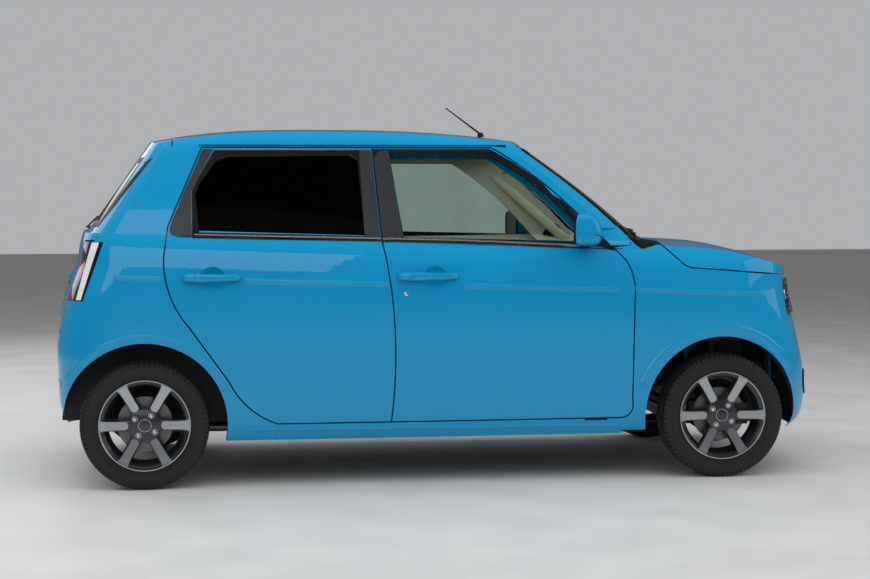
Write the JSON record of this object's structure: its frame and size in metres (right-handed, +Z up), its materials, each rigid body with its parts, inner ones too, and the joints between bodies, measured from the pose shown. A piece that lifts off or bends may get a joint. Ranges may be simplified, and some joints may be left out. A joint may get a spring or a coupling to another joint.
{
  "type": "kei-class five-door hatchback car",
  "caption": "Small five-door hatchback with opening doors, bonnet and tailgate, steered front wheels, free-rolling wheels and a furnished cabin.",
  "frame": {"origin": "on the ground, midway along the length and on the centre plane", "axes": "+X forward, +Y to the car's left, +Z up"},
  "size_m": [3.3973, 1.724, 1.6401],
  "materials": {
    "paint": "gloss cyan-blue",
    "dark_trim": "satin",
    "underbody": "satin",
    "clear_glass": "clear, light green tint",
    "dark_glass": "privacy tint",
    "lamp": "clear lens",
    "tail_lamp": "clear and bright strip in a black bezel",
    "fabric": "woven beige",
    "interior": "grained",
    "iron": "raw",
    "steel": "dull",
    "alloy": "machined spokes",
    "tyre": "matt"
  },
  "bodies": {
    "body": {"body_side_right": "paint", "body_side_left": "paint", "roof_panel": "paint", "floor_pan": "paint", "front_structure": "paint", "front_fenders": "paint", "front_bumper": "paint", "rear_bumper": "paint", "grille": "dark_trim", "headlamps": "lamp", "tail_lamps": "tail_lamp", "windscreen": "clear_glass", "cowl_panel": "dark_trim", "windscreen_wipers": "dark_trim", "aerial": "dark_trim", "front_seats": "fabric", "rear_seat": "fabric", "dashboard": "interior", "engine_block": "iron", "exhaust": "steel", "fuel_tank": "underbody", "front_subframe": "underbody", "rear_suspension": "underbody"},
    "front_door_right": {"front_door_right": "paint", "front_door_glass_right": "clear_glass", "door_mirror_right": "paint"},
    "front_door_left": {"front_door_left": "paint", "front_door_glass_left": "clear_glass", "door_mirror_left": "paint"},
    "rear_door_right": {"rear_door_right": "paint", "rear_door_glass_right": "dark_glass"},
    "rear_door_left": {"rear_door_left": "paint", "rear_door_glass_left": "dark_glass"},
    "tailgate": {"tailgate": "paint", "tailgate_glass": "clear_glass", "rear_wiper": "dark_trim"},
    "bonnet": {"bonnet": "paint"},
    "steering_wheel": {"steering_wheel": "interior"},
    "front_knuckle_right": {"front_knuckle_right": "iron"},
    "front_knuckle_left": {"front_knuckle_left": "iron"},
    "front_wheel_right": {"front_wheel_right": "alloy", "front_tyre_right": "tyre"},
    "front_wheel_left": {"front_wheel_left": "alloy", "front_tyre_left": "tyre"},
    "rear_wheel_right": {"rear_wheel_right": "alloy", "rear_tyre_right": "tyre"},
    "rear_wheel_left": {"rear_wheel_left": "alloy", "rear_tyre_left": "tyre"}
  },
  "joints": [
    {"name": "front_door_right_hinge", "type": "hinge", "parent": "body", "child": "front_door_right", "pos_m": [0.721, -0.70188, 0.64], "axis": [0, 0, 1], "range_deg": [0, 65]},
    {"name": "front_door_left_hinge", "type": "hinge", "parent": "body", "child": "front_door_left", "pos_m": [0.721, 0.70188, 0.64], "axis": [0, 0, -1], "range_deg": [0, 65]},
    {"name": "rear_door_right_hinge", "type": "hinge", "parent": "body", "child": "rear_door_right", "pos_m": [-0.331, -0.70705, 0.64], "axis": [0, 0, 1], "range_deg": [0, 70]},
    {"name": "rear_door_left_hinge", "type": "hinge", "parent": "body", "child": "rear_door_left", "pos_m": [-0.331, 0.70705, 0.64], "axis": [0, 0, -1], "range_deg": [0, 70]},
    {"name": "tailgate_hinge", "type": "hinge", "parent": "body", "child": "tailgate", "pos_m": [-1.108, 0, 1.484], "axis": [0, 1, 0], "range_deg": [0, 80]},
    {"name": "bonnet_hinge", "type": "hinge", "parent": "body", "child": "bonnet", "pos_m": [0.93, 0, 1], "axis": [0, -1, 0], "range_deg": [0, 50]},
    {"name": "steer_left", "type": "hinge", "parent": "body", "child": "front_knuckle_left", "pos_m": [1.221, 0.612, 0.185], "axis": [0, -0.1778, 0.9841], "range_deg": [-35, 35]},
    {"name": "steer_right", "type": "hinge", "parent": "body", "child": "front_knuckle_right", "pos_m": [1.221, -0.612, 0.185], "axis": [0, 0.1778, 0.9841], "range_deg": [-35, 35]},
    {"name": "steering_wheel_turn", "type": "hinge", "parent": "body", "child": "steering_wheel", "pos_m": [0.335, -0.335, 0.835], "axis": [-0.8829, 0, 0.4695], "range_deg": [-540, 540]},
    {"name": "front_right_wheel_spin", "type": "hinge", "parent": "front_knuckle_right", "child": "front_wheel_right", "pos_m": [1.221, -0.6525, 0.273], "axis": [0, 1, 0], "continuous": true},
    {"name": "front_left_wheel_spin", "type": "hinge", "parent": "front_knuckle_left", "child": "front_wheel_left", "pos_m": [1.221, 0.6525, 0.273], "axis": [0, 1, 0], "continuous": true},
    {"name": "rear_right_wheel_spin", "type": "hinge", "parent": "body", "child": "rear_wheel_right", "pos_m": [-1.299, -0.6525, 0.273], "axis": [0, 1, 0], "continuous": true},
    {"name": "rear_left_wheel_spin", "type": "hinge", "parent": "body", "child": "rear_wheel_left", "pos_m": [-1.299, 0.6525, 0.273], "axis": [0, 1, 0], "continuous": true}
  ],
  "couplings": [
    {"joint": "steer_right", "follows": "steer_left", "ratio": 1},
    {"joint": "steering_wheel_turn", "follows": "steer_left", "ratio": 14}
  ]
}
